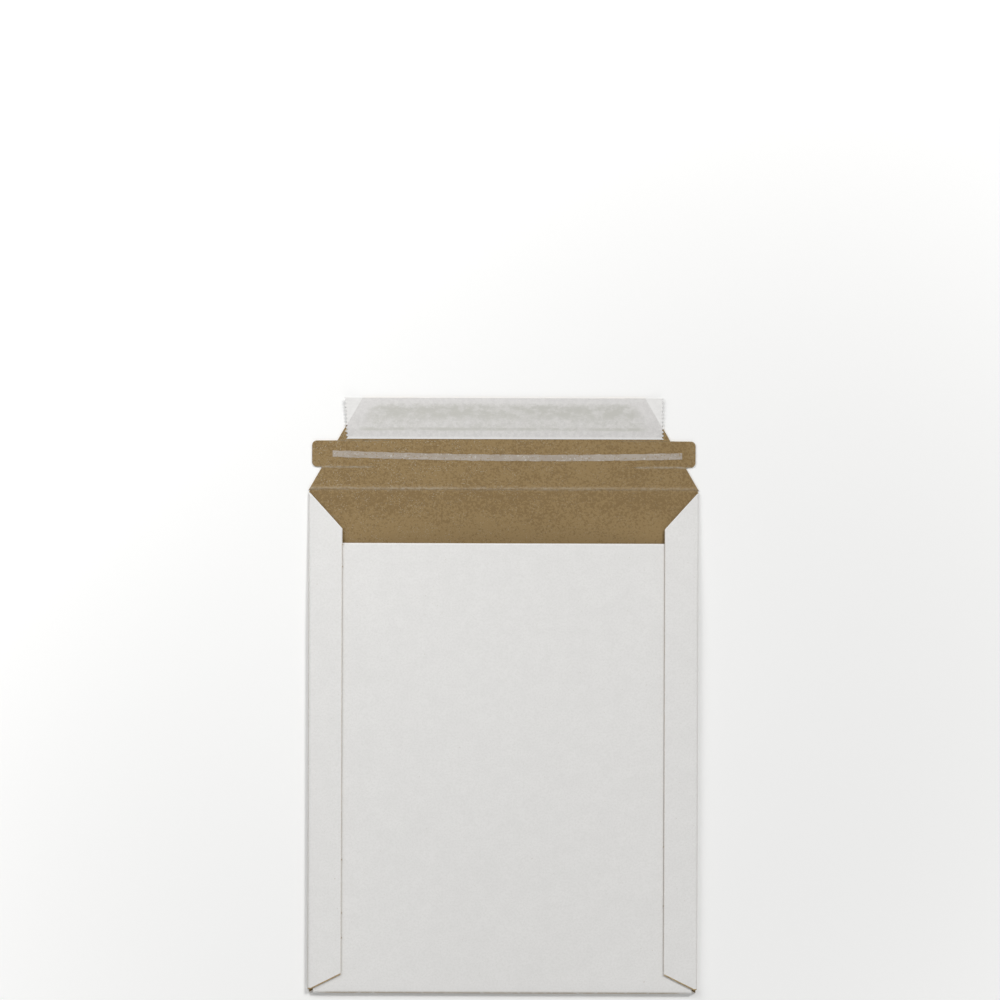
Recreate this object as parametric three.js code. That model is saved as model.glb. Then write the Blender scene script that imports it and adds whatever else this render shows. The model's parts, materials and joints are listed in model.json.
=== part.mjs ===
// A self-seal rigid mailer for photo prints and papers, lying on its back with its mouth open.
// One die-cut blank of solid board, white outside and kraft brown inside, is folded into a flat pocket:
// the front panel turns up from the bottom fold and the two side flaps are glued down over it.
// Past the mouth the blank runs on as a closing flap with a tear band, a tear tape and a peel-and-seal strip.
// Millimetres. +X is to the right of the mouth, +Y runs from the bottom fold to the closing flap, +Z is up.
// The origin lies under the middle of the mailer, on the surface that it rests on.
import * as THREE from "three";

// The blank
const width = 178;
const bodyLength = 230;
const flapLength = 42;
const boardThickness = 0.6;

// The pocket: its depth along the folds, and how far the front panel bows up from there
const pocketEdge = 1.4;
const crownHeight = 4.2;
const crownRun = 150;
const crownSharpness = 1.5;
const throatLength = 24.4;
const frontClearance = 0.8;
const cornerRelief = 0.6;

// The side flaps and the glue that holds them
const sideFlapWidth = 15.4;
const sideFlapLowTaper = THREE.MathUtils.degToRad(26.5);
const sideFlapTopTaper = THREE.MathUtils.degToRad(47.8);
const sideFlapTopDrop = 2.4;
const sideFoldTopDrop = 0.4;
const pinchedGap = 0.4;
const seamThickness = 0.2;
const seamSlack = 0.04;
const seamInset = 2;
const seamEndInset = 3;

// The closing flap
const hingeGap = 0.3;
const flapTaper = THREE.MathUtils.degToRad(30);
const flapCornerRadius = 1.5;
const tearBandStart = 10.4;
const tearBandWidth = 12;
const tabInset = 1.4;
const tabRadius = 2.2;

// The starter perforation at each end of the tear band
const slitLength = 3.2;
const slitTieLength = 1.6;
const slitWidth = 0.3;
const slitCount = 5;

// The tear tape, which was laid on with a slight bow
const tapeWidth = 2.9;
const tapeThickness = 0.08;
const tapeLeftMargin = 9.4;
const tapeRightMargin = 6.1;
const tapeSag = 1.3;
const tapeRightDrop = 0.8;

// The peel-and-seal strip: pressure-sensitive adhesive under a paper liner with pinked ends
const adhesiveThickness = 0.1;
const adhesiveInset = 1;
const linerThickness = 0.08;
const linerStart = 0.8;
const linerOverhang = 8.4;
const linerDryEdge = 3.2;
const toothPitch = 1.33;
const toothDepth = 0.9;
const linerLeftSkew = THREE.MathUtils.degToRad(3);

// How finely the curved sheets are divided
const foldSteps = 6;
const sideFlapSteps = 3;
const pocketRows = 9;
const throatRows = 5;
const frontColumns = 20;
const frontRows = 12;

// Places worked out from the sizes
const half = width / 2;
const bottomY = -(bodyLength + flapLength) / 2;
const creaseY = bottomY + bodyLength;
const mouthY = creaseY - throatLength;
const backZ = boardThickness / 2;
const bottomFoldRadius = (boardThickness + pocketEdge) / 2;
const bottomFoldY = bottomY + bottomFoldRadius + boardThickness / 2;
const frontZ = backZ + 2 * bottomFoldRadius;
const sideFoldRadius = (2 * boardThickness + pocketEdge + seamThickness) / 2;
const pinchedFoldRadius = (boardThickness + pinchedGap) / 2;
const frontHalf = half - boardThickness / 2 - sideFoldRadius - frontClearance;
const sideStartY = bottomFoldY + cornerRelief;
const sideEndY = creaseY - sideFoldTopDrop;
const sideFlapInner = half - sideFlapWidth;

const lerp = THREE.MathUtils.lerp;

// Radius of the middle of the board round a side fold. The fold is pinched from the mouth to the crease.
function sideFoldRadiusAt(y) {
  const open = THREE.MathUtils.smoothstep(creaseY - y, 0, throatLength);
  return lerp(pinchedFoldRadius, sideFoldRadius, open);
}

// Where the board leaves the flat back and starts round a side fold.
function sideFoldX(y) {
  return half - boardThickness / 2 - sideFoldRadiusAt(y);
}

// How far the front panel has bowed up at a point, nothing at the side folds and at the bottom fold.
function bow(x, y) {
  const across = Math.max(0, 1 - (x / sideFoldX(mouthY)) ** 2) ** crownSharpness;
  const along = THREE.MathUtils.clamp((y - bottomFoldY) / crownRun, 0, 1);
  return crownHeight * across * (1 - (1 - along) ** 2);
}

// A board or film, built as a mesh of its middle surface that is then given its thickness.
class Sheet {
  constructor(thickness) {
    this.thickness = thickness;
    this.places = [];
    this.faces = [];
  }

  // Adds a point of the middle surface, with the direction from the outer face to the inner face there.
  point(place, inward) {
    return this.places.push({ place, inward }) - 1;
  }

  // Fills the strip between two rows of points, whose counts may differ.
  // Seen from the inner side, the lower row runs to the right.
  strip(lower, upper) {
    let i = 0;
    let j = 0;
    while (i < lower.length - 1 || j < upper.length - 1) {
      const lowerNext = (i + 1) / (lower.length - 1);
      const upperNext = (j + 1) / (upper.length - 1);
      if (j === upper.length - 1 || (i < lower.length - 1 && lowerNext <= upperNext)) {
        this.faces.push([lower[i], lower[i + 1], upper[j]]);
        i += 1;
      } else {
        this.faces.push([lower[i], upper[j + 1], upper[j]]);
        j += 1;
      }
    }
  }

  strips(rows) {
    for (let i = 1; i < rows.length; i++) this.strip(rows[i - 1], rows[i]);
  }

  // The edges that only one face uses, each running the way that its face does.
  rim() {
    const edges = new Map();
    for (const face of this.faces) {
      face.forEach((a, k) => {
        const b = face[(k + 1) % 3];
        if (!edges.delete(`${b},${a}`)) edges.set(`${a},${b}`, [a, b]);
      });
    }
    return [...edges.values()];
  }

  geometry() {
    const count = this.places.length;
    const side = (sign) =>
      this.places.flatMap(({ place, inward }) =>
        place.clone().addScaledVector(inward, (sign * this.thickness) / 2).toArray(),
      );
    const index = [];
    for (const [a, b, c] of this.faces) index.push(a, b, c, a + count, c + count, b + count);
    for (const [a, b] of this.rim()) index.push(b, a, a + count, b, a + count, b + count);
    const made = new THREE.BufferGeometry();
    made.setAttribute("position", new THREE.Float32BufferAttribute([...side(1), ...side(-1)], 3));
    made.setIndex(index);
    made.computeVertexNormals();
    return made;
  }
}

const up = new THREE.Vector3(0, 0, 1);
const down = new THREE.Vector3(0, 0, -1);

// The fractions from 0 to 1 that divide a length evenly.
function fractions(steps) {
  return Array.from({ length: steps + 1 }, (_, i) => i / steps);
}

// The rows along a side fold: even up to the mouth, then closer while the fold is pinched.
function sideRows() {
  const mouth = (mouthY - sideStartY) / (sideEndY - sideStartY);
  const pocket = fractions(pocketRows).map((f) => f * mouth);
  const neck = fractions(throatRows).map((f) => lerp(mouth, 1, f));
  return [...pocket, ...neck.slice(1)];
}

// The columns of points from the back panel's edge, round a side fold and across the side flap.
// side is 1 for the right and -1 for the left.
function sideColumns(sheet, side) {
  const rows = sideRows();
  const fold = fractions(foldSteps).map((turn) => {
    const topY = lerp(sideEndY, creaseY - sideFlapTopDrop, turn);
    const angle = Math.PI * turn;
    return rows.map((f) => {
      const y = lerp(sideStartY, topY, f);
      const radius = sideFoldRadiusAt(y);
      const x = sideFoldX(y) + radius * Math.sin(angle);
      const z = backZ + radius * (1 - Math.cos(angle));
      const inward = new THREE.Vector3(-side * Math.sin(angle), 0, Math.cos(angle));
      return sheet.point(new THREE.Vector3(side * x, y, z), inward);
    });
  });
  const lowRise = Math.tan(sideFlapLowTaper);
  const topFall = Math.tan(sideFlapTopTaper);
  const flap = fractions(sideFlapSteps).slice(1).map((across) =>
    rows.map((f) => {
      const lowY = sideStartY + across * (sideFoldX(sideStartY) - sideFlapInner) * lowRise;
      const topY = creaseY - sideFlapTopDrop - across * (sideFoldX(creaseY) - sideFlapInner) * topFall;
      const y = lerp(lowY, topY, f);
      const x = lerp(sideFoldX(y), sideFlapInner, across);
      const z = backZ + 2 * sideFoldRadiusAt(y) + bow(x, y);
      return sheet.point(new THREE.Vector3(side * x, y, z), down);
    }),
  );
  return [...fold, ...flap];
}

// The folded blank up to the closing crease: front panel, bottom fold, back panel, side folds and side flaps.
function mailerBody() {
  const sheet = new Sheet(boardThickness);
  const columns = fractions(frontColumns).map((f) => lerp(-frontHalf, frontHalf, f));
  const front = fractions(frontRows).map((f) => {
    const y = lerp(mouthY, bottomFoldY, f);
    return columns.map((x) => sheet.point(new THREE.Vector3(x, y, frontZ + bow(x, y)), down));
  });
  const fold = fractions(foldSteps).slice(1).map((turn) => {
    const angle = Math.PI * (1 - turn);
    const y = bottomFoldY - bottomFoldRadius * Math.sin(angle);
    const z = backZ + bottomFoldRadius * (1 - Math.cos(angle));
    const inward = new THREE.Vector3(0, Math.sin(angle), Math.cos(angle));
    return columns.map((x) => sheet.point(new THREE.Vector3(x, y, z), inward));
  });
  sheet.strips([...front, ...fold]);

  const left = sideColumns(sheet, -1);
  const right = sideColumns(sheet, 1);
  const creaseEdge = [-1, 1].map((side) =>
    sheet.point(new THREE.Vector3(side * sideFoldX(creaseY), creaseY - hingeGap / 2, backZ), up),
  );
  const back = left[0].map((point, i) => [point, right[0][i]]);
  sheet.strips([fold.at(-1), ...back, creaseEdge]);
  for (let i = 1; i < left.length; i++) sheet.strip(left[i - 1], left[i]);
  for (let i = 1; i < right.length; i++) sheet.strip(right[i], right[i - 1]);
  return sheet.geometry();
}

// A film of glue between the front panel and one side flap, following the bow of the panel.
function seamGlue(side) {
  const sheet = new Sheet(seamThickness - 2 * seamSlack);
  const inner = sideFlapInner + seamInset;
  const outer = frontHalf - seamInset / 2;
  const lift = frontZ + boardThickness / 2 + seamThickness / 2;
  const lowRise = Math.tan(sideFlapLowTaper);
  const rows = fractions(pocketRows).map((f) =>
    fractions(sideFlapSteps).map((across) => {
      const x = side > 0 ? lerp(inner, outer, across) : -lerp(outer, inner, across);
      const flapLow = sideStartY + (sideFoldX(sideStartY) - Math.abs(x)) * lowRise;
      const y = lerp(flapLow + seamEndInset, mouthY - seamEndInset, f);
      return sheet.point(new THREE.Vector3(x, y, lift + bow(x, y)), up);
    }),
  );
  sheet.strips(rows);
  return sheet.geometry();
}

// Half the width of the closing flap at a height above the crease, where no tab stands out.
function flapHalf(height) {
  return half - height * Math.tan(flapTaper);
}

// A plate of an outline drawn above the crease, standing on a height.
function plate(shape, thickness, z, curveSegments = 6) {
  const made = new THREE.ExtrudeGeometry(shape, { depth: thickness, bevelEnabled: false, curveSegments });
  return made.translate(0, creaseY, z);
}

// The outline of the closing flap: a trapezoid, with the tear band's rounded tabs standing out of its slopes.
function flapOutline() {
  const low = tearBandStart;
  const high = tearBandStart + tearBandWidth;
  const tab = half - tabInset;
  const topHalf = flapHalf(flapLength);
  const r = tabRadius;
  const c = flapCornerRadius;
  const shape = new THREE.Shape();
  shape.moveTo(-flapHalf(hingeGap / 2), hingeGap / 2);
  shape.lineTo(flapHalf(hingeGap / 2), hingeGap / 2);
  shape.lineTo(flapHalf(low), low);
  shape.absarc(tab - r, low + r, r, -Math.PI / 2, 0, false);
  shape.absarc(tab - r, high - r, r, 0, Math.PI / 2, false);
  shape.lineTo(flapHalf(high), high);
  shape.lineTo(flapHalf(flapLength - c), flapLength - c);
  shape.quadraticCurveTo(topHalf, flapLength, topHalf - c, flapLength);
  shape.lineTo(-topHalf + c, flapLength);
  shape.quadraticCurveTo(-topHalf, flapLength, -flapHalf(flapLength - c), flapLength - c);
  shape.lineTo(-flapHalf(high), high);
  shape.absarc(-tab + r, high - r, r, Math.PI / 2, Math.PI, false);
  shape.absarc(-tab + r, low + r, r, Math.PI, 1.5 * Math.PI, false);
  shape.lineTo(-flapHalf(low), low);
  shape.closePath();
  return shape;
}

// The short cuts that start the tear, in a row from each notch beside a tab along both edges of the band.
function starterSlits() {
  const slits = [];
  for (const height of [tearBandStart, tearBandStart + tearBandWidth]) {
    for (const side of [-1, 1]) {
      for (let i = 0; i < slitCount; i++) {
        const outer = flapHalf(height) - slitTieLength - i * (slitLength + slitTieLength);
        const x = side * (outer - slitLength / 2);
        const slit = new THREE.Path();
        slit.moveTo(x - slitLength / 2, height);
        slit.quadraticCurveTo(x, height + slitWidth, x + slitLength / 2, height);
        slit.quadraticCurveTo(x, height - slitWidth, x - slitLength / 2, height);
        slits.push(slit);
      }
    }
  }
  return slits;
}

function closingFlap() {
  const shape = flapOutline();
  shape.holes.push(...starterSlits());
  return plate(shape, boardThickness, 0);
}

// The tear tape: a narrow strip whose two long edges share one slight bow.
function tearTape() {
  const middle = tearBandStart + tearBandWidth / 2;
  const left = -(half - tabInset - tapeLeftMargin);
  const right = half - tabInset - tapeRightMargin;
  const controlX = (left + right) / 2;
  const controlY = middle - 2 * tapeSag + tapeRightDrop / 2;
  const w = tapeWidth / 2;
  const shape = new THREE.Shape();
  shape.moveTo(left, middle - w);
  shape.quadraticCurveTo(controlX, controlY - w, right, middle - tapeRightDrop - w);
  shape.lineTo(right, middle - tapeRightDrop + w);
  shape.quadraticCurveTo(controlX, controlY + w, left, middle + w);
  shape.closePath();
  return plate(shape, tapeThickness, boardThickness, 12);
}

const linerLow = tearBandStart + tearBandWidth + linerStart;
const linerHigh = flapLength;
const linerHalf = flapHalf(flapLength) + linerOverhang;

// The adhesive under the liner. It stops short of the flap's edges, and of the dry edge that a finger lifts.
function adhesiveStrip() {
  const low = linerLow + linerDryEdge;
  const high = flapLength - adhesiveInset;
  const lowHalf = Math.min(flapHalf(low), linerHalf) - adhesiveInset;
  const highHalf = Math.min(flapHalf(high), linerHalf) - adhesiveInset;
  const shape = new THREE.Shape();
  shape.moveTo(-lowHalf, low);
  shape.lineTo(lowHalf, low);
  shape.lineTo(highHalf, high);
  shape.lineTo(-highHalf, high);
  shape.closePath();
  return plate(shape, adhesiveThickness, boardThickness);
}

// The liner: a paper strip whose ends were cut with a pinking blade, the left one a little askew.
function releaseLiner() {
  const teeth = Math.max(1, Math.round((linerHigh - linerLow) / toothPitch));
  const pitch = (linerHigh - linerLow) / teeth;
  const shape = new THREE.Shape();
  shape.moveTo(-linerHalf + (linerHigh - linerLow) * Math.tan(linerLeftSkew), linerLow);
  shape.lineTo(linerHalf, linerLow);
  for (let i = 0; i < teeth; i++) {
    const y = linerLow + i * pitch;
    shape.lineTo(linerHalf - toothDepth, y + pitch / 2);
    shape.lineTo(linerHalf, y + pitch);
  }
  for (let i = 0; i < teeth; i++) {
    const y = linerHigh - i * pitch;
    const edge = (height) => -linerHalf + (linerHigh - height) * Math.tan(linerLeftSkew);
    shape.lineTo(edge(y), y);
    shape.lineTo(edge(y - pitch / 2) + toothDepth, y - pitch / 2);
  }
  shape.closePath();
  return plate(shape, linerThickness, boardThickness + adhesiveThickness);
}

const boardFinish = new THREE.MeshStandardMaterial({ color: 0xdedddb, roughness: 0.62 });
const kraftFinish = new THREE.MeshStandardMaterial({ color: 0x8b7552, roughness: 0.9 });
const glueFinish = new THREE.MeshStandardMaterial({ color: 0xd8d0bd, roughness: 0.5 });
const adhesiveFinish = new THREE.MeshStandardMaterial({ color: 0xc9c4b4, roughness: 0.3 });
const linerFinish = new THREE.MeshStandardMaterial({ color: 0xd2d0ce, roughness: 0.45 });
const tapeFinish = new THREE.MeshStandardMaterial({ color: 0xa89f93, roughness: 0.35 });

function piece(name, geometry, material) {
  const mesh = new THREE.Mesh(geometry, material);
  mesh.name = name;
  return mesh;
}

const mailer = new THREE.Group();
mailer.add(
  piece("mailer_body", mailerBody(), boardFinish),
  piece("seam_glue_left", seamGlue(-1), glueFinish),
  piece("seam_glue_right", seamGlue(1), glueFinish),
);

const flap = new THREE.Group();
flap.add(
  piece("closing_flap", closingFlap(), kraftFinish),
  piece("adhesive_strip", adhesiveStrip(), adhesiveFinish),
  piece("release_liner", releaseLiner(), linerFinish),
  piece("tear_tape", tearTape(), tapeFinish),
);
mailer.add(flap);

export default mailer;
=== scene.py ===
import json
import math

import bpy
import numpy as np
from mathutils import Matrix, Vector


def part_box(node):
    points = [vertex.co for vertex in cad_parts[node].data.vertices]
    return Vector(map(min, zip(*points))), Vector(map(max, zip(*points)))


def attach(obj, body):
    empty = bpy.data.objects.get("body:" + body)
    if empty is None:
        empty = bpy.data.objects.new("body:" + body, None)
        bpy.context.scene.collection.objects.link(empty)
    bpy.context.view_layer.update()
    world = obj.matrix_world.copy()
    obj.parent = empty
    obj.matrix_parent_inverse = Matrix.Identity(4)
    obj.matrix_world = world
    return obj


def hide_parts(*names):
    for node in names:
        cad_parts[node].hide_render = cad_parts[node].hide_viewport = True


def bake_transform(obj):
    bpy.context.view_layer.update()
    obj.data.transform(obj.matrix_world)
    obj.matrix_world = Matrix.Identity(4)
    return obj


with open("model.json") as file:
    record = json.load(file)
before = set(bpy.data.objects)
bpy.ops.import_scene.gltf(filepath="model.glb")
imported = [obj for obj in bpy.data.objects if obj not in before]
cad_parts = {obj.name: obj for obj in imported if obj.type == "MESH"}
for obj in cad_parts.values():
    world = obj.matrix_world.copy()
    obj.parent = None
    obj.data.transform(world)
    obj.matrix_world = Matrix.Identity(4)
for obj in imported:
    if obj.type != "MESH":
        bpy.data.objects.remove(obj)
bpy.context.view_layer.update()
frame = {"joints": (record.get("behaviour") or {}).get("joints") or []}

# The board blank: one die-cut sheet of solid board, clay-coated white outside and bare kraft inside.
# It is creased and folded into a flat pocket, and runs on past the mouth as the closing flap.
# Both of its CAD nodes are shown by this one sheet.
MM = 0.001
hinge = frame["joints"][0]
crease_y = hinge["pos_m"][1]
body_low, body_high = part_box("mailer_body")
flap_low, flap_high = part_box("closing_flap")
half_width = body_high.x
bottom_y = body_low.y
board = flap_high.z - flap_low.z
flap_length = flap_high.y - crease_y

pocket_edge = 1.4 * MM
crown = 4.2 * MM
crown_run = 150 * MM
crown_sharpness = 1.5
ripple = 0.06 * MM
ripple_across = 17 * MM
ripple_along = 31 * MM
cross_ripple = 0.04 * MM
cross_ripple_across = 9 * MM
cross_ripple_along = 23 * MM
throat = 24.4 * MM
seam = 0.2 * MM
front_clearance = 0.8 * MM
corner_relief = 0.6 * MM
pinched_gap = 0.4 * MM
pinch_run = 45 * MM
pinch_from = 0.3
fold_squareness = 0.55
side_fold_drop = 0.4 * MM
side_flap_width = 15.4 * MM
side_flap_drop = 1.8 * MM
side_flap_press = 0.4
press_run = 16 * MM
low_taper = math.tan(math.radians(26.5))
top_taper = math.tan(math.radians(47.8))
flap_taper = math.tan(math.radians(30))

mouth_y = crease_y - throat
back_z = board / 2
bottom_radius = (board + pocket_edge) / 2
bottom_fold_y = bottom_y + bottom_radius + board / 2
front_z = back_z + 2 * bottom_radius
side_radius = (2 * board + pocket_edge + seam) / 2
pinched_radius = (board + pinched_gap) / 2
front_half = half_width - board / 2 - side_radius - front_clearance
side_start_y = bottom_fold_y + corner_relief
side_end_y = crease_y - side_fold_drop
side_inner = half_width - side_flap_width


def eased(t):
    """Runs smoothly from 0 to 1 as t does, and stays there outside that range."""
    t = np.clip(t, 0, 1)
    return t * t * (3 - 2 * t)


def bump(distance, reach):
    """A bell curve of the distance, 1 at no distance and about a third at the reach."""
    return np.exp(-((distance / reach) ** 2))


def fold_radius(y):
    """Radius of the middle of the board round a side fold, pinched more and more up to the crease."""
    return pinched_radius + (side_radius - pinched_radius) * eased((crease_y - y) / (throat + pinch_run))


def fold_x(y):
    """Where the board leaves the flat back and starts round a side fold."""
    return half_width - board / 2 - fold_radius(y)


def bow(x, y):
    """How far the front panel has sprung up: most at the mouth's middle, nothing at the folds.

    Long shallow ripples are laid over it, as a board has that was glued while damp. Towards the
    mouth's corners it goes down with the pinched side folds.
    """
    across = np.clip(1 - (x / fold_x(mouth_y)) ** 2, 0, None)
    along = 1 - (1 - np.clip((y - bottom_fold_y) / crown_run, 0, 1)) ** 2
    waves = ripple * np.sin(x / ripple_across + 1.1) * np.sin(y / ripple_along + 0.4)
    waves += cross_ripple * np.sin(x / cross_ripple_across - y / cross_ripple_along)
    corner = eased((np.abs(x) - pinch_from * side_inner) / ((1 - pinch_from) * side_inner))
    pinched = 2 * (side_radius - fold_radius(y)) * corner
    return along * (crown * across**crown_sharpness + waves * np.sqrt(across)) - pinched


roll_fall = 0.7
sharp_corner = math.radians(38)


def sheet_object(name, mid, inward, solid, thickness, materials, edge, **shape):
    """A sheet of board, paper or film, from a grid of points on its middle surface.

    Its inner face is the grid moved half a thickness inwards, plus the rise, and its outer face is
    the grid moved half a thickness outwards, less the sink. solid says which cells hold material.
    Round every cut edge both faces are drawn in by the edge rounding, and the rim is two rows of
    points, so the corners are eased. roll draws the outer face in further and takes its coating
    down over the edge, and skive draws it in for a slanting cut, which lays the plies bare.
    The wear and crack values say how far the inner and the outer face are worn and cracked, and they
    also carry painted highlight and painted shade; both go into one point attribute. The materials
    are those of the inner face, the outer face and the raw rim.
    """
    rows, cols = mid.shape[:2]
    flat = mid.reshape(-1, 3)
    face_in = inward.reshape(-1, 3)
    number = np.arange(rows * cols).reshape(rows, cols)
    corner = [number[:-1, :-1], number[:-1, 1:], number[1:, 1:], number[1:, :-1]]
    cells = np.stack(corner, -1)[solid]
    beyond = np.pad(solid, 1)
    open_sides = (beyond[:-2, 1:-1], beyond[1:-1, 2:], beyond[2:, 1:-1], beyond[1:-1, :-2])
    edges = np.concatenate(
        [np.stack([corner[k], corner[(k + 1) % 4]], -1)[solid & ~open_sides[k]] for k in range(4)]
    )
    out = np.zeros_like(flat)
    step = np.cross(flat[edges[:, 1]] - flat[edges[:, 0]], face_in[edges[:, 0]])
    step /= np.maximum(np.linalg.norm(step, axis=1, keepdims=True), 1e-9)
    np.add.at(out, edges[:, 0], step)
    np.add.at(out, edges[:, 1], step)
    out /= np.maximum(np.linalg.norm(out, axis=1, keepdims=True), 1e-9)

    names = ("rise", "sink", "roll", "skive", "wear", "crack")
    spread = [np.broadcast_to(shape.get(key, 0), (rows, cols)).reshape(-1, 1) for key in names]
    rise, sink, roll, skive, wear, crack = spread
    edge = np.broadcast_to(edge, (rows, cols)).reshape(-1, 1)
    half = thickness / 2
    inner = flat + face_in * (half + rise) - out * edge
    outer = flat - face_in * (half - sink) - out * np.maximum(np.maximum(edge, roll), skive)
    inner_rim = flat + face_in * (half + rise - edge)
    outer_rim = flat - face_in * (half - sink - np.maximum(edge, roll_fall * roll))
    total = rows * cols
    a, b = edges[:, 0], edges[:, 1]
    quads = [
        cells,
        cells[:, ::-1] + total,
        np.stack([a + total, b + total, b + 3 * total, a + 3 * total], -1),
        np.stack([a + 3 * total, b + 3 * total, b + 2 * total, a + 2 * total], -1),
        np.stack([a + 2 * total, b + 2 * total, b, a], -1),
    ]
    skived = (skive[a, 0] > edge[a, 0]) & (skive[b, 0] > edge[b, 0])
    finish = np.concatenate(
        [np.full(len(quads[0]), 0), np.full(len(quads[1]), 1), np.where(skived, 2, 1)]
        + [np.full(len(quads[3]), 2), np.full(len(quads[4]), 0)]
    )
    faces = np.concatenate(quads)
    used, faces = np.unique(faces, return_inverse=True)
    points = np.concatenate([inner, outer, inner_rim, outer_rim])[used]
    worn_and_painted_light = np.concatenate([wear, crack, wear, crack])[used, 0]

    mesh = bpy.data.meshes.new(name)
    mesh.from_pydata(points, [], faces.reshape(-1, 4))
    for material in materials:
        mesh.materials.append(material)
    mesh.polygons.foreach_set("material_index", finish.astype(np.int32))
    mesh.polygons.foreach_set("use_smooth", np.ones(len(finish), bool))
    mesh.attributes.new("wear", "FLOAT", "POINT").data.foreach_set("value", worn_and_painted_light.astype(np.float32))
    mesh.set_sharp_from_angle(angle=sharp_corner)
    mesh.validate()
    made = bpy.data.objects.new(name, mesh)
    bpy.context.scene.collection.objects.link(made)
    return made


def inward_of(mid):
    """Unit normals of a grid of points: the cross product of its columns' and its rows' directions."""
    normal = np.cross(np.gradient(mid, axis=1), np.gradient(mid, axis=0))
    return normal / np.maximum(np.linalg.norm(normal, axis=2, keepdims=True), 1e-12)


def grid(x, y, z):
    """A grid of points from three coordinates, each a full grid or one that can be spread over it."""
    return np.stack(np.broadcast_arrays(x, y, z), -1)


# The tear band crosses the flap. Its tabs stand out past the flap's slopes, and a row of short
# knife cuts with ties between them starts the tear from each notch.
band_start = 10.4 * MM
band_width = 12 * MM
tab_inset = 1.4 * MM
tab_radius = 2.2 * MM
flap_corner = 1.5 * MM
slit = 3.2 * MM
slit_tie = 1.6 * MM
slit_half = 0.03 * MM
slit_count = 5
tab_half = half_width - tab_inset
band_end = band_start + band_width


def slope_half(v):
    """Half width of the flap at v above the crease, along its straight slopes."""
    return half_width - v * flap_taper


def flap_reach(v):
    """Half width of the flap at v above the crease, with the tabs and the rounded free corners."""
    from_band_edge = np.minimum(v - band_start, band_end - v)
    lift = np.clip(tab_radius - from_band_edge, 0, tab_radius)
    tab = tab_half - tab_radius + np.sqrt(tab_radius**2 - lift**2)
    past = np.clip(v - (flap_length - flap_corner), 0, flap_corner)
    rounded = flap_corner - np.sqrt(flap_corner**2 - past**2)
    return np.where(from_band_edge >= 0, tab, slope_half(v) - rounded)


# Columns: the cut marks lie at fixed distances from the slopes, and the rest is divided evenly.
# A side flap's columns crowd towards its inner edge.
middle_steps = 44
fold_steps = 10
side_across = np.concatenate([[0.03], 1 - (1 - np.linspace(0, 1, 7)[1:]) ** 2])
marks = np.cumsum([0.0] + [slit_tie, slit] * slit_count)


def columns(slope, reach):
    """Places across the sheet, for each row: the outermost on the outline and the rest off the slope."""
    right = slope - marks[::-1]
    right[:, -1] = reach[:, 0]
    even = np.linspace(-1, 1, middle_steps + 1)[1:-1]
    return np.concatenate([-right[:, ::-1], right[:, :1] * even, right], axis=1)


mid_cols = 2 * len(marks) + middle_steps - 1
side_cols = fold_steps + len(side_across)
first = side_cols
last = side_cols + mid_cols

# Rows: down the front panel, round the bottom fold, up the back and over the crease to the free edge.
# They crowd at the cut edges, the nicks, the crease and the band's edges, and are even between them.
near_mouth = np.array([0, 0.8, 1.5, 2.4, 4])
front_y = np.concatenate([near_mouth, np.linspace(7, 204, 62)]) * MM
front_y = mouth_y - front_y * (mouth_y - bottom_fold_y) / front_y[-1]
fold_turn = np.linspace(0, 1, 13)[1:]
left_nicks = np.array([25.1, 35.2, 169, 193.3, 204.7]) * MM
right_nicks = np.array([162.7, 189.7]) * MM
near_nick = np.array([-0.9, -0.45, 0, 0.45, 0.9]) * MM
side_low = side_start_y + (fold_x(side_start_y) - side_inner) * low_taper
side_top = crease_y - side_flap_drop - (fold_x(crease_y) - side_inner) * top_taper
nick_y = crease_y - np.concatenate([left_nicks, right_nicks])
nick_rows = ((nick_y[:, None] + near_nick).ravel() - side_low) / (side_top - side_low)
near_bottom = np.array([0, 0.8, 1.7, 3]) * MM / (side_end_y - side_start_y)
low_part = 0.935
even_rows = np.linspace(0, low_part, 70)[1:]
below = np.concatenate([near_bottom, even_rows, nick_rows[nick_rows < low_part]])
below = np.unique(below.round(5))
near_crease = np.array([13, 11, 9, 7.2, 5.6, 4.4, 3.4, 2.6, 2, 1.5, 1.1, 0.8, 0.5, 0.25, 0]) * MM
back_share = np.concatenate([below, 1 - near_crease / (side_end_y - side_start_y)])
before_nick = np.linspace(0.942, 0.956, 3)
after_nick = np.linspace(0.978, 1, 7)
near_slant = np.concatenate([before_nick, nick_rows[nick_rows > low_part], after_nick])
side_share = np.concatenate([below, near_slant])
near_bead = np.array([-0.25, -0.1, 0.05, 0.2, 0.4, 0.65, 0.9, 1.2, 1.6, 2.1, 2.8, 4, 6, 8]) * MM
near_cut = np.array([-1, -0.55, -0.3, -0.12, -0.03, 0.03, 0.12, 0.3, 0.6, 1.1, 1.6, 2.2]) * MM
near_free_edge = np.array([1.5, 1.1, 0.7, 0.4, 0.2, 0.08, 0.02, 0]) * MM
flap_v = np.concatenate(
    [
        near_bead,
        band_start + near_cut,
        np.linspace(band_start + 4 * MM, band_end - 4 * MM, 4),
        band_end - near_cut[::-1],
        np.linspace(band_end + 2.5 * MM, flap_length - 2 * MM, 6),
        flap_length - near_free_edge,
    ]
)

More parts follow.
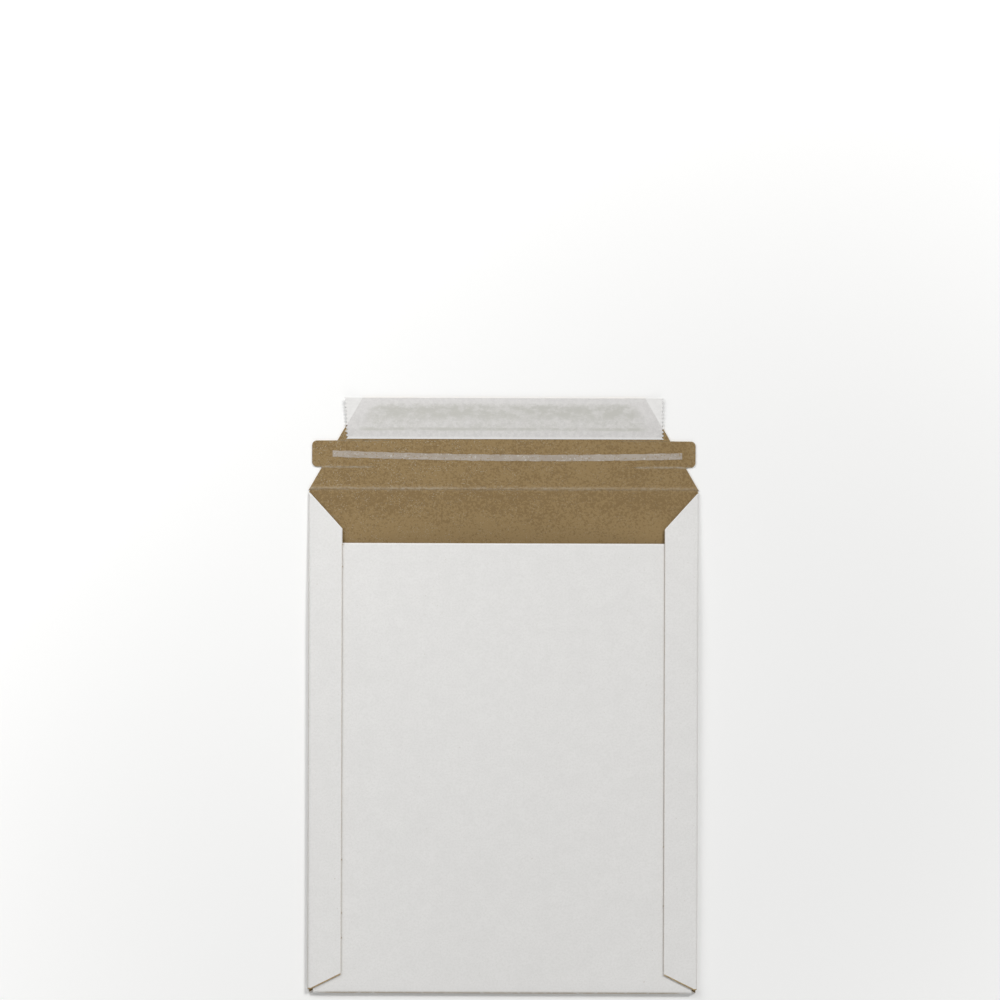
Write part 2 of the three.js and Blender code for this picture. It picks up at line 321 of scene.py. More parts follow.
angle = np.pi * (1 - fold_turn)[:, None]
front_x = columns(np.full((len(front_y), 1), front_half), np.full((len(front_y), 1), front_half))
front_rows = grid(front_x, front_y[:, None], front_z + bow(front_x, front_y[:, None]))
bottom_rows = grid(
    front_x[:1],
    bottom_fold_y - bottom_radius * np.sin(angle),
    back_z + bottom_radius * (1 - np.cos(angle)),
)
relief_step = 0.05 * MM
relief_reach = np.array([[front_half], [fold_x(side_start_y) - 2 * relief_step]])
relief_y = np.array([[bottom_fold_y + relief_step], [side_start_y - relief_step]])
relief_rows = grid(columns(relief_reach, relief_reach), relief_y, back_z)
inner_y = side_start_y + (side_end_y - side_start_y) * back_share[:, None]
back_x = columns(fold_x(inner_y), fold_x(inner_y))
back_rows = grid(back_x, inner_y, back_z)
flap_x = columns(slope_half(flap_v[:, None]), flap_reach(flap_v[:, None]))
flap_rows = grid(flap_x, crease_y + flap_v[:, None], back_z)

burr_height = 0.35 * MM
burr_reach = 0.45 * MM


def side_block(side):
    """The rows of one side fold and side flap, from the back's edge outwards, beside the back rows.

    The fold carries the board half round a circle that is squared off at its corners. The side flap
    then lies on the front panel, and its ends are cut back by the two tapers. Past the mouth it is
    pressed down towards the back.
    side is 1 for the right and -1 for the left.
    """
    turn = np.linspace(0, 1, fold_steps + 1)[None, 1:]
    top = side_end_y + (crease_y - side_flap_drop - side_end_y) * turn
    share = back_share[:, None] + (side_share - back_share)[:, None] * turn
    y = side_start_y + (top - side_start_y) * share
    radius = fold_radius(y)
    fold = grid(
        side * (fold_x(y) + radius * np.sin(np.pi * turn) ** fold_squareness),
        y,
        back_z + radius * (1 - np.cos(np.pi * turn)),
    )
    across = side_across[None, :]
    low = side_start_y + across * (fold_x(side_start_y) - side_inner) * low_taper
    top = crease_y - side_flap_drop - across * (fold_x(crease_y) - side_inner) * top_taper
    y = low + (top - low) * side_share[:, None]
    x = fold_x(y) + (side_inner - fold_x(y)) * across
    nicks = right_nicks if side > 0 else left_nicks
    burr = bump(y[..., None] - (crease_y - nicks), burr_reach).sum(-1) * (across == 1)
    x = x - burr_height * burr
    pressed = side_flap_press * eased((y - mouth_y) / press_run) * across
    height = (2 * side_radius + bow(x, y)) * (1 - pressed) + 2 * pinched_radius * pressed
    flap = grid(side * x, y, back_z + height)
    block = np.concatenate([fold, flap], axis=1)
    return block if side > 0 else block[:, ::-1]


left_block = side_block(-1)
right_block = side_block(1)
back_all = np.concatenate([left_block, back_rows, right_block], axis=1)
strip = np.concatenate([front_rows, bottom_rows, relief_rows, back_rows, flap_rows])
back_from = len(front_rows) + len(bottom_rows) + len(relief_rows)
back_to = back_from + len(back_rows)
relief_row = back_from - len(relief_rows)

mid = np.concatenate(
    [np.repeat(strip[:, :1], side_cols, 1), strip, np.repeat(strip[:, -1:], side_cols, 1)], axis=1
)
mid[back_from:back_to] = back_all
inward = np.zeros_like(mid)
inward[..., 2] = 1
inward[:, first:last] = inward_of(strip)
inward[back_from:back_to] = inward_of(back_all)

# The back's own corners lie bare at the relief holes: small ears beside the ends of the bottom fold.
ear_x = half_width - 0.75 * MM
ear_y = bottom_y + 0.45 * MM
for column, side in ((first - 1, -1), (last, 1)):
    mid[relief_row, column] = (side * ear_x, ear_y, back_z)
    mid[relief_row + 1, column] = (side * ear_x, side_start_y - relief_step, back_z)

solid = np.zeros((mid.shape[0] - 1, mid.shape[1] - 1), bool)
solid[:, first:last - 1] = True
solid[back_from:back_to - 1] = True
solid[relief_row, [first - 1, last - 1]] = True
cut_cells = np.arange(1, 2 * slit_count, 2)
for edge_v in (band_start, band_end):
    row = back_to + int(np.argmin(np.abs(flap_v - (edge_v - slit_half))))
    solid[row, first + cut_cells] = False
    solid[row, last - 2 - cut_cells] = False

# What the tools leave on the sheet: the closing crease stands up as a bead inside, just past the
# fold, and is a groove outside. The bead is coloured paler, most at the left: partly rubbed fibre
# and partly a painted highlight where its face turns to the light. The starter cuts have raised
# lips, the first row's more than the second's.
bead_height = 0.2 * MM
bead_place = 0.55 * MM
bead_reach = 0.72 * MM
bead_rub_and_highlight_most = 0.85
bead_rub_and_highlight_fall = 0.4
groove_depth = 0.1 * MM
groove_place = -0.2 * MM
groove_reach = 0.45 * MM
lip_height = 0.1 * MM
lip_reach = 0.42 * MM
second_lip = 0.25
second_lip_reach = 0.35 * MM
past_slope = 0.2 * MM
flap_place = mid[..., 1] - crease_y
on_inner_plane = np.zeros(mid.shape[:2])
on_inner_plane[back_from:, first:last] = 1
crease_bead = on_inner_plane * bump(flap_place - bead_place, bead_reach)
from_left = eased(0.5 + mid[..., 0] / (2 * half_width))
# Painted highlight with some rubbing: the bead is coloured paler, less towards the right.
bead_rub_and_highlight = crease_bead * (bead_rub_and_highlight_most - bead_rub_and_highlight_fall * from_left)
crease_line = on_inner_plane * bump(flap_place - groove_place, groove_reach)
from_slope = slope_half(flap_place) - np.abs(mid[..., 0])
cut_zone = on_inner_plane * (from_slope < marks[-1]) * (from_slope > -past_slope)
first_row = bump(flap_place - band_start, lip_reach)
second_row = bump(flap_place - band_end, second_lip_reach)
cut_lip = cut_zone * (first_row + second_lip * second_row)

# The coating is cracked along the folds, more heavily on the left side fold, where the extra brown
# is painted shade. Along the side flaps' inner edges the coating is thin, and its faint brown line
# is partly that and partly painted shade; at the nicks where the die held the sheet it is torn. A
# shallow channel marks each side fold and the pressed edge of the mouth, and the die rolls the
# coating down over the cut edges.
bottom_crack = 0.9
bottom_crack_place = 0.38
bottom_crack_reach = 0.2
bottom_crack_fade = 9 * MM
# The side folds' cracks are real; the heavier brown on the left fold is painted shade.
side_crack_and_left_shade = {-1: 0.55, 1: 0.25}
side_crack_place = 0.55
side_crack_reach = 0.14
nick_reach = 0.5 * MM
# Along the side flaps' inner edges the brown is partly thin coating and partly painted shade; at the
# nicks it is torn coating.
inner_edge_wear_and_shade = 0.3
mouth_roll = 0.6 * MM
slant_roll = 0.35 * MM
inner_edge_roll = 0.16 * MM
flat_columns = 5
low_skive = 0.55 * MM
turned = np.zeros(mid.shape[:2])
side_turn = np.linspace(0, 1, fold_steps + 1)[1:]
fold_cracks_and_shade = bottom_crack * bump(fold_turn - bottom_crack_place, bottom_crack_reach)
turned[len(front_rows):relief_row, first:last] = fold_cracks_and_shade[:, None]
turned *= eased((front_half - np.abs(mid[..., 0])) / bottom_crack_fade)
nick_tears_and_edge_shade = np.zeros(mid.shape[:2])
channel = np.zeros(mid.shape[:2])
channel[2, first:last] = 1
roll = np.zeros(mid.shape[:2])
roll[0, first:last] = mouth_roll
skive = np.zeros(mid.shape[:2])
for side, nicks in ((-1, left_nicks), (1, right_nicks)):
    outwards = slice(last, None) if side > 0 else slice(first - 1, None, -1)
    edge_column = -1 if side > 0 else 0
    edge_y = mid[back_from:back_to, edge_column, 1]
    nick = bump(edge_y[:, None] - (crease_y - nicks), nick_reach).sum(-1)
    nick_tears_and_edge_shade[back_from:back_to, edge_column] = np.maximum(nick, inner_edge_wear_and_shade)
    channel[back_from:back_to, outwards][:, fold_steps - 1] = 1
    fold_cracks_and_shade = side_crack_and_left_shade[side] * bump(side_turn - side_crack_place, side_crack_reach)
    turned[back_from:back_to, outwards][:, :fold_steps] = fold_cracks_and_shade
    roll[back_to - 1, outwards] = slant_roll
    roll[back_from + 1:back_to, edge_column] = inner_edge_roll
    roll[back_to - 1, outwards][:flat_columns] = 0
    skive[back_from, outwards] = low_skive * (np.arange(side_cols) > fold_steps / 2)


def srgb(hex_code):
    """A colour written as six hex digits of sRGB, as the linear values that a shader takes."""
    channels = [int(hex_code[i:i + 2], 16) / 255 for i in (0, 2, 4)]
    linear = [c / 12.92 if c <= 0.04045 else ((c + 0.055) / 1.055) ** 2.4 for c in channels]
    return (*linear, 1)


def add(tree, kind, inputs=(), **settings):
    """Adds a node with its settings, and gives each input a value or the socket that feeds it."""
    node = tree.nodes.new("ShaderNode" + kind)
    for key, value in settings.items():
        setattr(node, key, value)
    for key, value in dict(inputs).items():
        if isinstance(value, bpy.types.NodeSocket):
            tree.links.new(value, node.inputs[key])
        else:
            node.inputs[key].default_value = value
    return node


def material_base(name, **surface):
    """A new material with its shader's surface values set, and its coordinates."""
    material = bpy.data.materials.new(name)
    material.use_nodes = True
    tree = material.node_tree
    shader = tree.nodes["Principled BSDF"]
    for key, value in surface.items():
        shader.inputs[key.replace("_", " ")].default_value = value
    place = add(tree, "TexCoord").outputs["Object"]
    return material, tree, shader, place


smooth = {"interpolation_type": "SMOOTHSTEP"}
product = {"operation": "MULTIPLY"}
falling = {"To Min": 1.0, "To Max": 0.0}


def mottle(tree, place, size, stretch=(1, 1, 1), **inputs):
    """Noise whose spots are about as large as the size, in metres, and drawn out by the stretch."""
    scaled = add(tree, "Mapping", {"Vector": place, "Scale": [1 / (size * s) for s in stretch]})
    values = {"Vector": scaled.outputs[0], "Scale": 1.0, "Detail": 3.0, "Roughness": 0.55} | inputs
    return add(tree, "TexNoise", values).outputs["Fac"]


def patches(tree, place, size, low, high, faint=0.0, full=1.0, **spots):
    """Patches in a mottle: faint where its noise is below low, full above high, and eased between."""
    limits = {"From Min": low, "From Max": high, "To Min": faint, "To Max": full}
    inputs = {"Value": mottle(tree, place, size, **spots)} | limits
    return add(tree, "MapRange", inputs, **smooth).outputs[0]


def layered(tree, base, *stains):
    """The base colour with stains laid over it in turn.

    Each stain is its colour and the shares that say where it lies. It covers by their product.
    """
    colour = base
    # Of a colour Mix, input 0 is the share, and 6 and 7 are the two colours.
    for stain, cover, *shares in stains:
        for share in shares:
            cover = add(tree, "Math", {0: cover, 1: share}, **product).outputs[0]
        colour = add(tree, "Mix", {0: cover, 6: colour, 7: stain}, data_type="RGBA").outputs[2]
    return colour


def kraft_board():
    """Bare kraft of recycled fibre, calendered and uncoated.

    Its cloudy formation, its pale and dark flecks and its fibres, which lie along the paper
    machine's direction, give the eye a matt, speckled brown. The flecks are drawn at twice their
    real size of 0.3 mm, because they would not show otherwise. They lie in loose flocks, and more
    pale flecks are laid towards the left and up the flap as painted light. The back's dark patches
    are thinned towards the mouth, as painted light against the front panel's shade there, and
    thickened towards the crease, as painted shade. Its wear shows the paler fibres below, and the
    same pale colour is a painted highlight on the crease bead.
    """
    material, tree, shader, place = material_base("uncoated_kraft_board", Roughness=0.9, IOR=1.5)
    across, along, _ = add(tree, "SeparateXYZ", {"Vector": place}).outputs
    clouds = mottle(tree, place, 14 * MM, (1.6, 1, 1), Detail=5.0, Roughness=0.65)
    formation = mottle(tree, place, 1.0 * MM, Roughness=0.7)
    dark_share = add(tree, "Math", {0: clouds, 1: 0.35, 2: formation}, operation="MULTIPLY_ADD")
    # Painted light and shade along the back: fewer dark patches towards the mouth, against the front
    # panel's shade, and more towards the crease as painted shade.
    painted_light_along = {"Value": along, "From Min": mouth_y, "From Max": crease_y}
    painted_light_along = painted_light_along | {"To Min": -0.07, "To Max": 0.07}
    painted_light_along = add(tree, "MapRange", painted_light_along, **smooth).outputs[0]
    unbent = {"Value": along, "From Min": crease_y - 0.7 * MM, "From Max": crease_y} | falling
    unbent = add(tree, "MapRange", unbent, **smooth).outputs[0]
    painted_light_along = add(tree, "Math", {0: painted_light_along, 1: unbent}, **product).outputs[0]
    dark_share = add(tree, "Math", {0: dark_share.outputs[0], 1: painted_light_along}, operation="ADD").outputs[0]
    dark_patches = {"Value": dark_share, "From Min": 0.66, "From Max": 0.74}
    dark_patches = add(tree, "MapRange", dark_patches, **smooth).outputs[0]
    flecks = patches(tree, place, 0.6 * MM, 0.59, 0.65, full=0.85, Detail=1.0)
    flocks = patches(tree, place, 6 * MM, 0.44, 0.6, faint=0.2, Detail=4.0, Roughness=0.7)
    # Painted light: more pale flecks are laid at the left and up the flap, so that the kraft looks lit
    # there.
    painted_light_left = {"Value": across, "From Min": -half_width, "From Max": half_width}
    painted_light_left = painted_light_left | {"To Min": 1.0, "To Max": 0.3}
    painted_light_left = add(tree, "MapRange", painted_light_left, **smooth).outputs[0]
    painted_light_up_flap = {"Value": along, "From Min": mouth_y, "From Max": crease_y + band_end, "To Min": 0.5}
    painted_light_up_flap = add(tree, "MapRange", painted_light_up_flap, **smooth).outputs[0]
    flocks_and_painted_light = add(tree, "Math", {0: flocks, 1: painted_light_left}, **product).outputs[0]
    flocks_and_painted_light = add(tree, "Math", {0: flocks_and_painted_light, 1: painted_light_up_flap}, **product).outputs[0]
    fibres = patches(tree, place, 0.5 * MM, 0.62, 0.7, full=0.3, stretch=(4, 0.8, 1), Detail=2.0)
    patchy = patches(
        tree, place, 0.9 * MM, 0.42, 0.58, faint=0.3, stretch=(2, 1, 1), Detail=4.0, Roughness=0.7
    )
    uneven = patches(tree, place, 22 * MM, 0.35, 0.6, faint=0.55)
    patchy = add(tree, "Math", {0: patchy, 1: uneven}, **product).outputs[0]
    # The attribute holds wear, and the painted highlight on the crease bead.
    worn_and_painted_light = add(tree, "Attribute", attribute_name="wear").outputs["Fac"]
    colour = layered(
        tree,
        srgb("8c754e"),
        (srgb("7c6540"), dark_patches),
        (srgb("a9a08c"), flecks, flocks_and_painted_light),
        (srgb("9c8a67"), fibres),
        (srgb("a99e8c"), worn_and_painted_light, patchy),
    )
    tree.links.new(colour, shader.inputs["Base Color"])
    height = mottle(tree, place, 0.6 * MM, (2, 1, 1), Detail=4.0)
    bumped = add(tree, "Bump", {"Height": height, "Distance": 0.05 * MM, "Strength": 0.6})
    tree.links.new(bumped.outputs[0], shader.inputs["Normal"])
    return material


def coated_board():
    """White clay coating on the board's outer liner, calendered to a dull finish.

    It gives the eye a smooth, nearly even white, with the faint clouds of the fibres under it and a
    fine grain. Where the board was bent sharply, the coating is cracked and the brown shows through,
    and the same brown is laid on as painted shade along the left side fold and the side flaps' inner
    edges.
    """
    material, tree, shader, place = material_base("clay_coated_white_liner", Roughness=0.6, IOR=1.48)
    clouds = patches(tree, place, 7 * MM, 0.3, 0.7, Detail=5.0)
    grain = patches(tree, place, 0.9 * MM, 0.4, 0.66, full=0.45, Roughness=0.7)
    specks = patches(tree, place, 1.1 * MM, 0.78, 0.81, full=0.5, Detail=1.0)
    cracks = patches(tree, place, 1.1 * MM, 0.32, 0.5, faint=0.4, stretch=(2.5, 1.5, 1), Detail=4.0)
    # The attribute holds the cracks, and the painted shade at the left fold and the inner edges.
    worn_and_painted_light = add(tree, "Attribute", attribute_name="wear").outputs["Fac"]
    colour = layered(
        tree,
        srgb("e0dfdd"),
        (srgb("e3e2e0"), clouds),
        (srgb("d6d5d2"), grain),
        (srgb("b9b2a6"), specks),
        (srgb("9a8564"), worn_and_painted_light, cracks),
    )
    tree.links.new(colour, shader.inputs["Base Color"])
    height = mottle(tree, place, 1.3 * MM, Detail=5.0, Roughness=0.6)
    bumped = add(tree, "Bump", {"Height": height, "Distance": 0.03 * MM, "Strength": 0.5})
    tree.links.new(bumped.outputs[0], shader.inputs["Normal"])
    return material


def raw_edge():
    """The cut edge of the board, where its grey-brown plies show as fine lines."""
    material, tree, shader, place = material_base("die_cut_board_edge", Roughness=0.95, IOR=1.5)
    plies = patches(tree, place, 0.9 * MM, 0.35, 0.65, stretch=(2.5, 2.5, 0.12))
    colour = layered(tree, srgb("967f57"), (srgb("ae9973"), plies))
    tree.links.new(colour, shader.inputs["Base Color"])
    return material


kraft = kraft_board()
white = coated_board()
raw = raw_edge()
cut_rounding = 0.09 * MM
lip_wear = 0.9
groove_crack = 0.35
outer_groove = 0.18 * MM
channel_depth = 0.05 * MM
blank = sheet_object(
    "board_blank",
    mid,
    inward,
    solid,
    board,
    (kraft, white, raw),
    edge=np.where(cut_zone > 0, slit_half, cut_rounding),
    wear=np.clip(lip_wear * cut_lip + bead_rub_and_highlight, 0, 1),
    crack=np.clip(groove_crack * crease_bead + turned + nick_tears_and_edge_shade, 0, 1),
    rise=bead_height * crease_bead - groove_depth * crease_line + lip_height * cut_lip,
    sink=outer_groove * crease_bead + channel_depth * channel,
    roll=roll,
    skive=skive,
)
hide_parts("mailer_body", "closing_flap")
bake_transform(blank)

# The seam glue: a film of hot melt rolled on along each side flap before it is pressed down.
# It holds the flap to the front panel, and hardly shows past the flap's edge.
seam_slack = 0.04 * MM
seam_inset = 2 * MM
seam_end_inset = 3 * MM


def glue_film(side):
    """The film between the front panel and one side flap, following the panel's bow."""
    across = np.linspace(side_inner + seam_inset, front_half - seam_inset / 2, 7)[None, :]
    x = across if side > 0 else -across[:, ::-1]
    low = side_start_y + (fold_x(side_start_y) - np.abs(x)) * low_taper + seam_end_inset
    y = low + (mouth_y - seam_end_inset - low) * np.linspace(0, 1, 60)[:, None]
    points = grid(x, y, front_z + board / 2 + seam / 2 + bow(x, y))
    whole = np.ones((points.shape[0] - 1, points.shape[1] - 1), bool)
    name = "seam_glue_film_right" if side > 0 else "seam_glue_film_left"
    thickness = seam - 2 * seam_slack
    finish = (hot_melt,) * 3
    return sheet_object(name, points, inward_of(points), whole, thickness, finish, edge=0.02 * MM)


def hot_melt_glue():
    """Dried hot-melt adhesive, cream and slightly glossy, with the lines of the roller in it."""
    material, tree, shader, place = material_base("hot_melt_glue", Roughness=0.4, IOR=1.5)
    lines = patches(tree, place, 1.5 * MM, 0.4, 0.6, stretch=(1, 12, 1))
    colour = layered(tree, srgb("cfc5ac"), (srgb("ddd5c2"), lines))
    tree.links.new(colour, shader.inputs["Base Color"])
    return material


hot_melt = hot_melt_glue()
for side, node in ((-1, "seam_glue_left"), (1, "seam_glue_right")):
    film = glue_film(side)
    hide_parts(node)
    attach(film, "pocket")

# The tear tape: a narrow polypropylene film with hot melt on its back, laid across the tear band
# from a reel. It lies with a slight bow, and its ends were chopped square.
tape_low, tape_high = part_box("tear_tape")
tape_width = 2.9 * MM
tape_thickness = tape_high.z - tape_low.z
tape_sag = 1.3 * MM
tape_right_drop = 0.8 * MM
tape_rag = 0.12 * MM
rag_long = 3.1 * MM
rag_short = 1.3 * MM
tape_ripple = 0.01 * MM
ripple_length = 2.2 * MM
tape_middle = crease_y + band_start + band_width / 2

tape_t = np.linspace(0, 1, 161)[None, :]
tape_ends = tape_middle - tape_right_drop * tape_t
tape_line = tape_ends - 4 * tape_sag * tape_t * (1 - tape_t)
tape_x = tape_low.x + (tape_high.x - tape_low.x) * tape_t
ragged = tape_rag * np.sin(tape_x / rag_long) * np.sin(tape_x / rag_short)
tape_across = np.linspace(-0.5, 0.5, 7)[:, None]
tape_y = tape_line + tape_width * tape_across + ragged * np.sign(tape_across)
tape_z = flap_high.z + tape_thickness / 2 + tape_ripple * np.sin(tape_x / ripple_length)
tape_points = grid(tape_x, tape_y, tape_z)


def tape_film():
    """Clear polypropylene film.

    It gives the eye a satin, greyish brown: milky where air lies under it, and brown in the spots
    where it has wetted the board. Its pale specks are painted glints: painted highlights on the film.
    """
    material, tree, shader, place = material_base("polypropylene_tear_tape", Roughness=0.32, IOR=1.49)
    wetted = patches(tree, place, 2.6 * MM, 0.35, 0.65, stretch=(2.2, 1, 1), Detail=4.0)
    spots = patches(tree, place, 0.85 * MM, 0.6, 0.65, full=0.75, Detail=2.0)
    # Painted highlights: pale specks that stand in for glints of light on the film.
    painted_glints = patches(tree, place, 0.9 * MM, 0.62, 0.67, full=0.75, Detail=2.0, Distortion=0.5)
    colour = layered(
        tree,
        srgb("a79d91"),
        (srgb("9d9285"), wetted),
        (srgb("8c7755"), spots),
        (srgb("c4c1ba"), painted_glints),
    )
    tree.links.new(colour, shader.inputs["Base Color"])
    return material


tape_finish = tape_film()
tape = sheet_object(
    "tear_tape_strip",
    tape_points,
    inward_of(tape_points),
    np.ones((tape_points.shape[0] - 1, tape_points.shape[1] - 1), bool),
    tape_thickness,
    (tape_finish,) * 3,
    edge=0.015 * MM,
)
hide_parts("tear_tape")
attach(tape, "flap")

# The adhesive: a band of pressure-sensitive glue rolled on along the flap's free edge.
# It stays covered by the liner, apart from where the liner's ends have lifted.
glue_low, glue_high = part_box("adhesive_strip")
glue_v = np.linspace(glue_low.y, glue_high.y, 13)[:, None]
glue_inset = 1 * MM
glue_half = slope_half(glue_v - crease_y) - glue_inset
glue_points = grid(glue_half * np.linspace(-1, 1, 61), glue_v, (glue_low.z + glue_high.z) / 2)


def tacky_glue():
    """Clear acrylic adhesive, slightly hazy, with the ribs of the roller that laid it."""
    material, tree, shader, place = material_base("pressure_sensitive_adhesive", Roughness=0.25, IOR=1.47)
    ribs = patches(tree, place, 1.4 * MM, 0.4, 0.6, stretch=(10, 1, 1))
    colour = layered(tree, srgb("b3a88f"), (srgb("c9c1ae"), ribs))
    tree.links.new(colour, shader.inputs["Base Color"])
    return material


adhesive_finish = tacky_glue()
adhesive = sheet_object(
    "seal_adhesive",
    glue_points,
    inward_of(glue_points),
    np.ones((glue_points.shape[0] - 1, glue_points.shape[1] - 1), bool),
    glue_high.z - glue_low.z,
    (adhesive_finish,) * 3,
    edge=0.02 * MM,
)
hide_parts("adhesive_strip")
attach(adhesive, "flap")

# The release liner: siliconised tissue, cut off a reel with a pinking blade and laid over the glue.
# It is thin enough for the flap's outline and the glue's wet patches to show through it.
liner_low, liner_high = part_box("release_liner")
liner_thickness = liner_high.z - liner_low.z
tooth_pitch = 1.67 * MM
tooth_depth = 1.2 * MM
liner_skew = math.tan(math.radians(3))
teeth = round((liner_high.y - liner_low.y) / tooth_pitch)
left_curl = 1.5 * MM
right_curl = 0.6 * MM
curl_run = 14 * MM
curl_inset = 2 * MM
liner_waves = 0.04 * MM
wave_across = 11 * MM
wave_along = 6 * MM

liner_rows = 2 * teeth
liner_y = np.linspace(liner_low.y, liner_high.y, liner_rows + 1)[:, None]
tooth = tooth_depth * (np.arange(liner_rows + 1) % 2)[:, None]
liner_left = liner_low.x + (liner_high.y - liner_y) * liner_skew
end_steps = np.array([0, 1, 2, 3]) * MM
middle = np.linspace(0, 1, 81)[1:-1]
liner_x = np.concatenate(
    [
        liner_left + end_steps + tooth * (end_steps == 0),
        liner_left + end_steps[-1] + (liner_high.x - liner_left - 2 * end_steps[-1]) * middle,
        liner_high.x - end_steps[::-1] - tooth * (end_steps[::-1] == 0),
    ],
    axis=1,
)
overhang = np.clip(np.abs(liner_x) - slope_half(liner_y - crease_y) + curl_inset, 0, None)
curl = np.where(liner_x < 0, left_curl, right_curl) * eased(overhang / curl_run)
waves = liner_waves * np.sin(liner_x / wave_across) * np.sin(liner_y / wave_along + 1)
liner_z = (liner_low.z + liner_high.z) / 2 + np.abs(waves) + curl
liner_points = grid(liner_x, liner_y, liner_z)


def cross_band(tree, height, foot, full_from, full_to, top):
    """A soft band across the flap, between four heights above the crease in millimetres.

    It rises from 0 at the foot to 1, and falls again from 1 to 0 at the top.
    """
    rise = {"Value": height, "From Min": foot * MM, "From Max": full_from * MM}
    fall = {"Value": height, "From Min": full_to * MM, "From Max": top * MM} | falling
    rise, fall = (add(tree, "MapRange", side, **smooth).outputs[0] for side in (rise, fall))
    return add(tree, "Math", {0: rise, 1: fall}, **product).outputs[0]


def release_paper():
    """Siliconised tissue paper, satin and slightly see-through.

    Over the bare floor it is nearly white. Over the flap it is greyer, in two bands where the glue
    has wetted it, with the cloudy formation of a thin paper. Its lower rim is dry and paler.
    """
    material, tree, shader, place = material_base("siliconised_release_paper", Roughness=0.42, IOR=1.45)
    across, along, _ = add(tree, "SeparateXYZ", {"Vector": place}).outputs
    reach = add(tree, "Math", {0: across}, operation="ABSOLUTE").outputs[0]
    height = add(tree, "Math", {0: along, 1: crease_y}, operation="SUBTRACT").outputs[0]
    slope = {0: height, 1: flap_taper, 2: -half_width}
    slope = add(tree, "Math", slope, operation="MULTIPLY_ADD").outputs[0]
    past = add(tree, "Math", {0: reach, 1: slope}, operation="ADD").outputs[0]
    backed = {"Value": past, "From Min": -0.5 * MM, "From Max": 0.1 * MM} | falling
    backed = add(tree, "MapRange", backed, **smooth).outputs[0]
    inside = {"Value": past, "From Min": -12 * MM, "From Max": -4 * MM} | falling
    inside = add(tree, "MapRange", inside, **smooth).outputs[0]
    rising = {"Value": height, "From Min": 24 * MM, "From Max": 40 * MM}
    rising = add(tree, "MapRange", rising, **smooth).outputs[0]
    lower_edge = liner_low.y - crease_y
    rim = {"Value": height, "From Min": lower_edge + 0.6 * MM, "From Max": lower_edge + 1.3 * MM}
    rim = rim | {"To Min": 0.6, "To Max": 0.0}
    rim = add(tree, "MapRange", rim, **smooth).outputs[0]

    fine = patches(tree, place, 1.6 * MM, 0.38, 0.62, stretch=(1.1, 1, 1), Detail=5.0, Roughness=0.8)
    soaked = patches(
        tree, place, 2.6 * MM, 0.36, 0.6, faint=0.3, stretch=(1.8, 1, 1), Detail=5.0, Roughness=0.7
    )
    glued = cross_band(tree, height, 26, 27.4, 38.8, 40)
    wet = add(tree, "Math", {0: glued, 1: inside}, **product).outputs[0]
    wet = add(tree, "Math", {0: wet, 1: soaked}, **product).outputs[0]
    upper = cross_band(tree, height, 31, 34.5, 37.6, 39)
    lower = cross_band(tree, height, 26.8, 27.4, 28, 28.8)
    bands = add(tree, "Math", {0: upper, 1: lower}, operation="ADD", use_clamp=True).outputs[0]

    dark = layered(tree, srgb("c6c4c2"), (srgb("d0cecc"), rising))
    light = layered(tree, srgb("d2d0ce"), (srgb("d8d6d4"), rising))
    damp = layered(tree, srgb("c1c0bb"), (srgb("cfcdca"), fine))
    over_board = layered(
        tree,
        dark,
        (light, fine),
        (damp, wet),
        (srgb("bdbcb6"), bands, wet),
        (srgb("e3e2e0"), rim),
    )
    bare = layered(tree, srgb("e3e2e0"), (srgb("e8e7e5"), fine))
    colour = layered(tree, bare, (over_board, backed))
    tree.links.new(colour, shader.inputs["Base Color"])
    crinkle = mottle(tree, place, 1.6 * MM, (1, 1.6, 1), Detail=4.0)
    bumped = add(tree, "Bump", {"Height": crinkle, "Distance": 0.04 * MM, "Strength": 0.5})
    tree.links.new(bumped.outputs[0], shader.inputs["Normal"])
    return material


paper = release_paper()
liner = sheet_object(
    "release_liner_strip",
    liner_points,
    inward_of(liner_points),
    np.ones((liner_points.shape[0] - 1, liner_points.shape[1] - 1), bool),
    liner_thickness,
    (paper,) * 3,
    edge=0.015 * MM,
)
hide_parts("release_liner")
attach(liner, "flap")

# The floor: a sheet of matt white backdrop paper, lit from above.
floor_half = 3.0
floor_gap = 0.02 * MM
fade_from = 0.12
fade_to = 1.0
floor_mesh = bpy.data.meshes.new("floor")
floor_corners = np.array([(-1, -1), (1, -1), (1, 1), (-1, 1)]) * floor_half
floor_mesh.from_pydata(np.column_stack([floor_corners, np.full(4, -floor_gap)]), [], [(0, 1, 2, 3)])
floor = bpy.data.objects.new("floor", floor_mesh)
bpy.context.scene.collection.objects.link(floor)
floor_material, floor_tree, floor_shader, floor_place = material_base(
    "matt_backdrop_paper", Roughness=0.95
)


def seen_directly(tree):
    """1 for rays from the camera, and for those it sees in gloss or glass, and 0 for the rest."""
    rays = add(tree, "LightPath").outputs
    seen = {0: rays["Is Camera Ray"], 1: rays["Is Glossy Ray"]}
    seen = add(tree, "Math", seen, operation="ADD").outputs[0]
    seen = {0: seen, 1: rays["Is Transmission Ray"]}
    return add(tree, "Math", seen, operation="ADD", use_clamp=True).outputs[0]


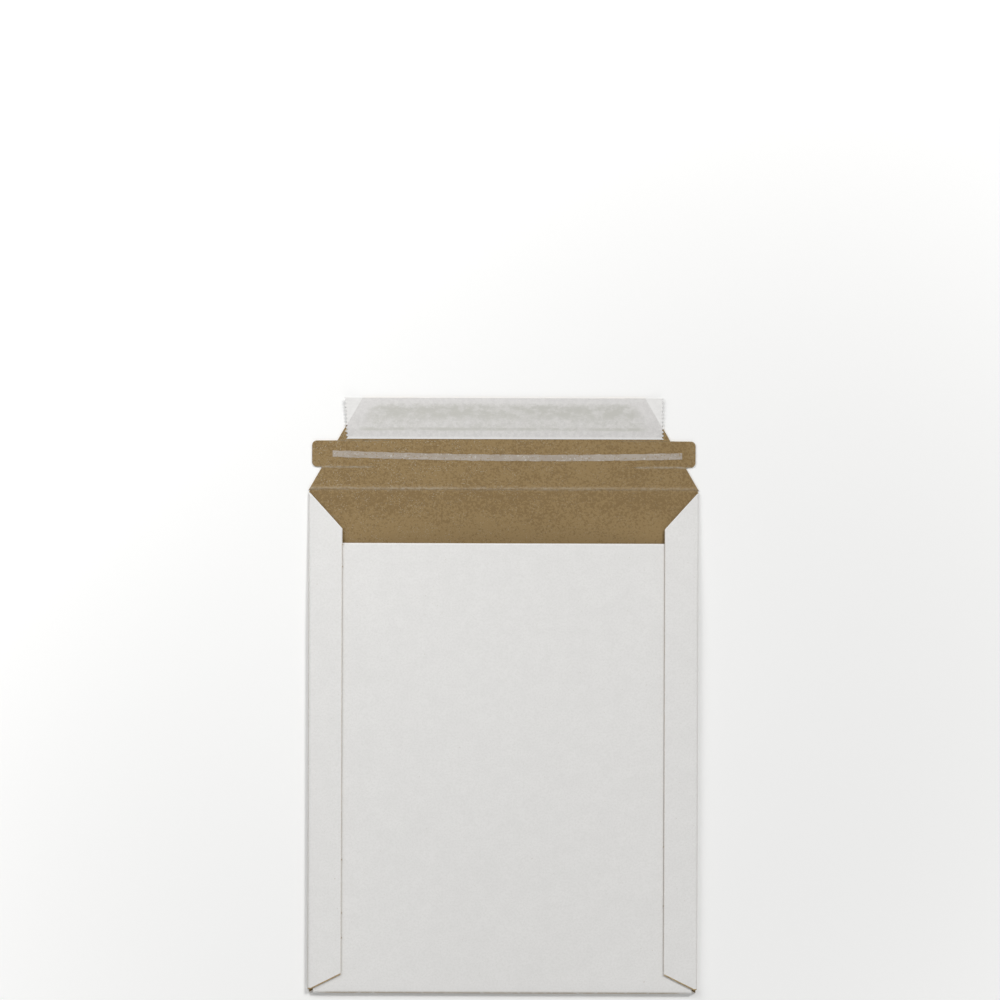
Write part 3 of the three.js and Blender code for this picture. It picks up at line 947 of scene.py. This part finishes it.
direct = seen_directly(floor_tree)
floor_colour = layered(floor_tree, srgb("e6e6e4"), (srgb("f8f8f7"), direct))
distance = add(floor_tree, "VectorMath", {0: floor_place}, operation="LENGTH").outputs["Value"]
faded = {"Value": distance, "From Min": fade_from, "From Max": fade_to}
faded = add(floor_tree, "MapRange", faded, **smooth).outputs[0]
glow = add(floor_tree, "Math", {0: direct, 1: faded}, **product).outputs[0]
floor_tree.links.new(floor_colour, floor_shader.inputs["Base Color"])
floor_shader.inputs["Emission Color"].default_value = srgb("ffffff")
floor_tree.links.new(glow, floor_shader.inputs["Emission Strength"])
floor_mesh.materials.append(floor_material)

# The light: a far soft box on the right beyond the flap throws the shadows, a near one over the
# left of the flap and a low one before the bottom fold fill them, and the surround is pale, so that
# a colour renders about as written.


def soft_box(name, place, size, power):
    """A square area lamp at a place, turned towards the mailer."""
    lamp = bpy.data.lights.new(name, "AREA")
    lamp.shape = "SQUARE"
    lamp.size = size
    lamp.energy = power
    made = bpy.data.objects.new(name, lamp)
    made.location = place
    made.visible_camera = False
    made.rotation_euler = made.location.to_track_quat("Z", "Y").to_euler()
    bpy.context.scene.collection.objects.link(made)
    return made


soft_box("key_light", place=(2.85, 3.75, 4.65), size=1.5, power=204)
soft_box("fill_light", place=(-0.4, 0.45, 0.5), size=0.5, power=2.7)
soft_box("low_light", place=(0.2, -1.5, 0.8), size=1.0, power=5.5)

surround = 0.28
world = bpy.data.worlds.new("pale_surround")
world.use_nodes = True
backdrop = world.node_tree.nodes["Background"]
backdrop.inputs["Color"].default_value = srgb("ffffff")
shine = {"Value": seen_directly(world.node_tree), "To Min": surround}
shine = add(world.node_tree, "MapRange", shine, **smooth).outputs[0]
world.node_tree.links.new(shine, backdrop.inputs["Strength"])
bpy.context.scene.world = world
bpy.context.scene.view_settings.view_transform = "Standard"

# The camera: straight above, far off with a long lens, framed as the photograph is.
# The photograph's frame is 457 mm across at the mailer, and its middle lies just below the crease.
frame_width = 457 * MM
frame_left = 1.7 * MM
below_crease = 4.6 * MM
camera_height = 3.0
camera_roll = math.radians(0.18)
sensor_width = 36
camera_data = bpy.data.cameras.new("camera")
camera_data.sensor_width = sensor_width
camera_data.lens = sensor_width * camera_height / frame_width
camera_data.clip_end = 20
camera = bpy.data.objects.new("camera", camera_data)
camera.location = (-frame_left, crease_y - below_crease, camera_height)
camera.rotation_euler = (0, 0, camera_roll)
bpy.context.scene.collection.objects.link(camera)
bpy.context.scene.camera = camera
